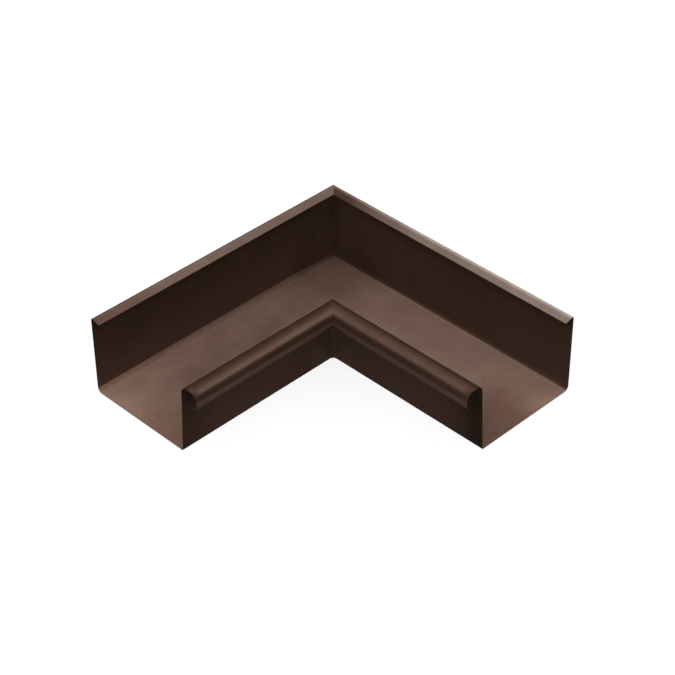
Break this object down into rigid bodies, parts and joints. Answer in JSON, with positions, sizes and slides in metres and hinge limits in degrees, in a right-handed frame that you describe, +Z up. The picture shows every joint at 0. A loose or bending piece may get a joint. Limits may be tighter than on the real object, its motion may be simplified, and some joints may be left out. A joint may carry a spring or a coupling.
{
  "type": "internal gutter angle",
  "caption": "Gutter angle for an inside corner: a rectangular coated steel channel turned through a right angle, with flanged tall back walls outside and beaded low front walls inside.",
  "frame": {"origin": "on the underside, where the centre lines of the two legs cross", "axes": "+Z up out of the channel; one leg runs along +X and the other along +Y, with the back walls on the -Y and -X sides and the beaded front walls inside the turn"},
  "size_m": [0.31, 0.31, 0.086],
  "materials": {
    "coated_steel": "satin chocolate-brown coating with a fine grain on both sides of thin steel sheet"
  },
  "bodies": {
    "root": {"gutter_angle": "coated_steel"}
  },
  "joints": []
}
